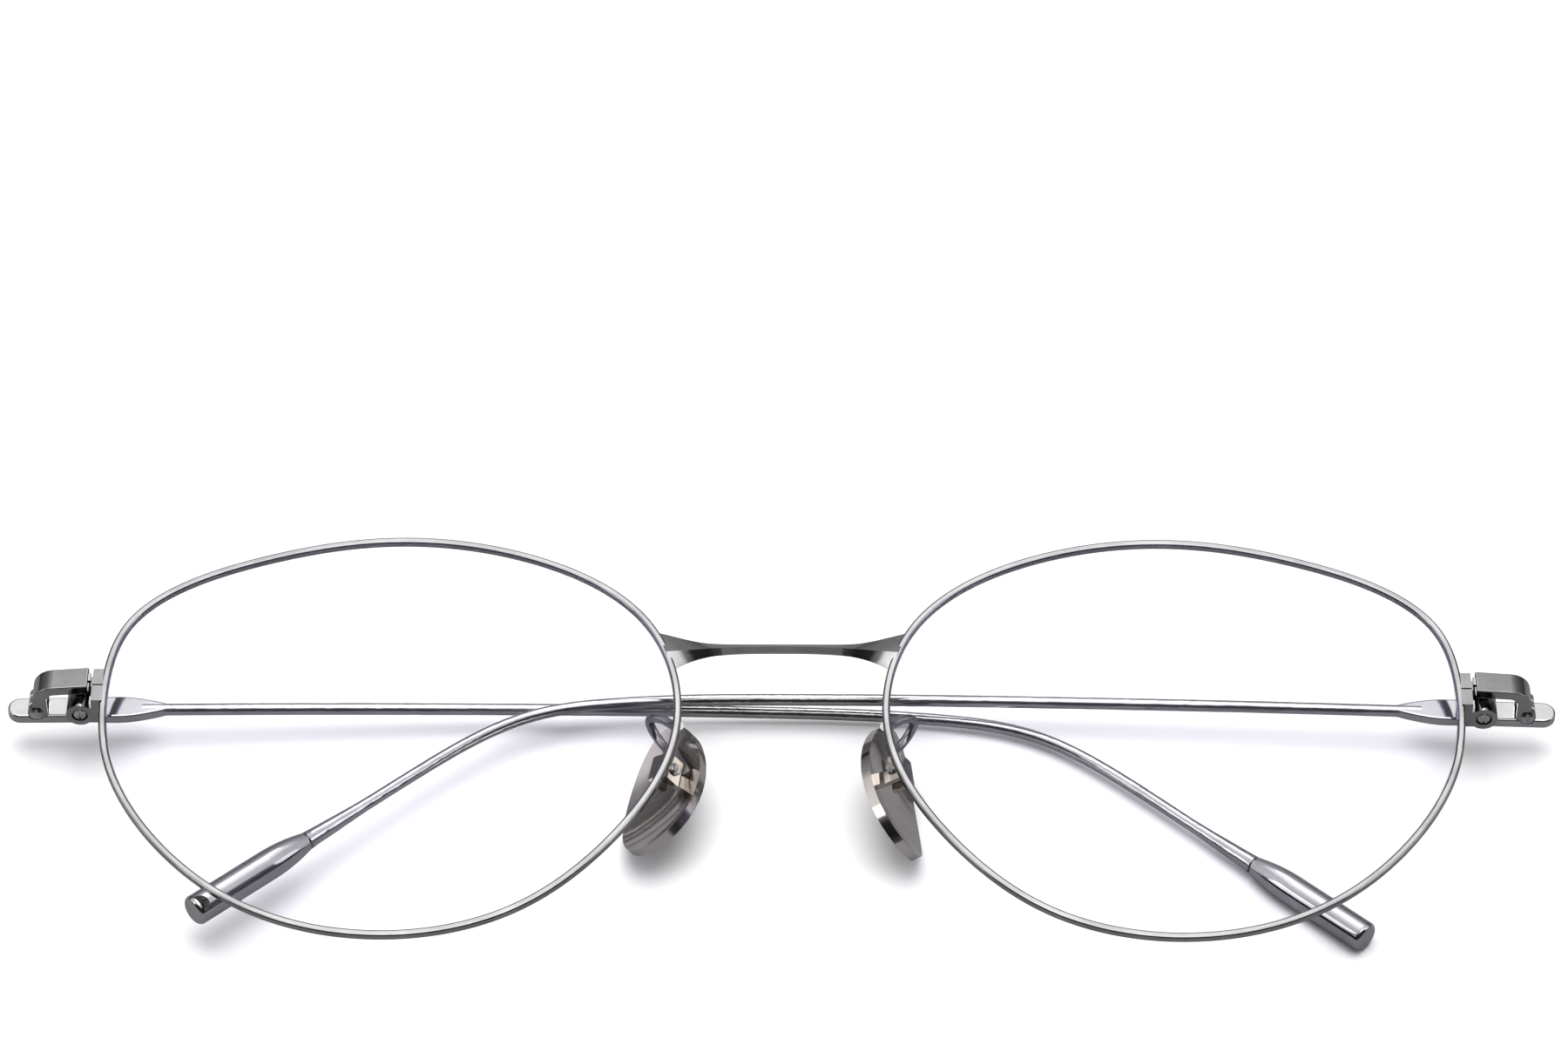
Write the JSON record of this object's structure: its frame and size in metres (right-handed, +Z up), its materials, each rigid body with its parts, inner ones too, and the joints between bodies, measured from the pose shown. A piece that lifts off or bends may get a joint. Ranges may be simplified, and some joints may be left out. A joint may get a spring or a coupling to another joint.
{
  "type": "eyeglasses",
  "caption": "Full-rim polished wire eyeglasses, folded and lying face up, with screw hinges, closed rim locks, wire ear hooks and dished metal nose pads on curved arms.",
  "frame": {"origin": "middle of the base of the bounding box, on the table below the bridge", "axes": "+Z up out of the lenses' front faces, +Y towards the brow, +X towards the wearer's left"},
  "size_m": [0.1406, 0.0451, 0.0124],
  "materials": {
    "front_metal": "polished, slightly grey",
    "temple_metal": "polished, slightly grey",
    "pad_metal": "polished, slightly warm",
    "screw_metal": "bright turned",
    "washer_plastic": "natural",
    "lens_clear": "clear with a faint violet coating"
  },
  "bodies": {
    "front": {"bridge": "front_metal", "left_rim": "front_metal", "left_lens": "lens_clear", "left_lock_block_upper": "front_metal", "left_lock_block_lower": "front_metal", "left_lock_screw": "screw_metal", "left_end_piece": "front_metal", "left_hinge_screw": "screw_metal", "left_hinge_washers": "washer_plastic", "left_pad_arm": "front_metal", "left_pad_box": "pad_metal", "left_pad_screw": "screw_metal", "right_rim": "front_metal", "right_lens": "lens_clear", "right_lock_block_upper": "front_metal", "right_lock_block_lower": "front_metal", "right_lock_screw": "screw_metal", "right_end_piece": "front_metal", "right_hinge_screw": "screw_metal", "right_hinge_washers": "washer_plastic", "right_pad_arm": "front_metal", "right_pad_box": "pad_metal", "right_pad_screw": "screw_metal"},
    "left_temple": {"left_temple": "temple_metal", "left_temple_tip": "temple_metal"},
    "left_pad": {"left_nose_pad": "pad_metal"},
    "right_temple": {"right_temple": "temple_metal", "right_temple_tip": "temple_metal"},
    "right_pad": {"right_nose_pad": "pad_metal"}
  },
  "joints": [
    {"name": "left_temple_hinge", "type": "hinge", "parent": "front", "child": "left_temple", "pos_m": [0.06761, 0.00733, 0.0053], "axis": [0, -1, 0], "range_deg": [0, 88.8]},
    {"name": "right_temple_hinge", "type": "hinge", "parent": "front", "child": "right_temple", "pos_m": [-0.06759, 0.00733, 0.0053], "axis": [0, 1, 0], "range_deg": [0, 87.3]},
    {"name": "left_pad_rock", "type": "hinge", "parent": "front", "child": "left_pad", "pos_m": [0.01036, -0.00135, 0.00579], "axis": [0.5005, 0.1382, -0.8546], "range_deg": [-8, 8]},
    {"name": "right_pad_rock", "type": "hinge", "parent": "front", "child": "right_pad", "pos_m": [-0.01034, -0.00135, 0.00579], "axis": [0.7582, -0.1982, 0.6212], "range_deg": [-8, 8]}
  ]
}
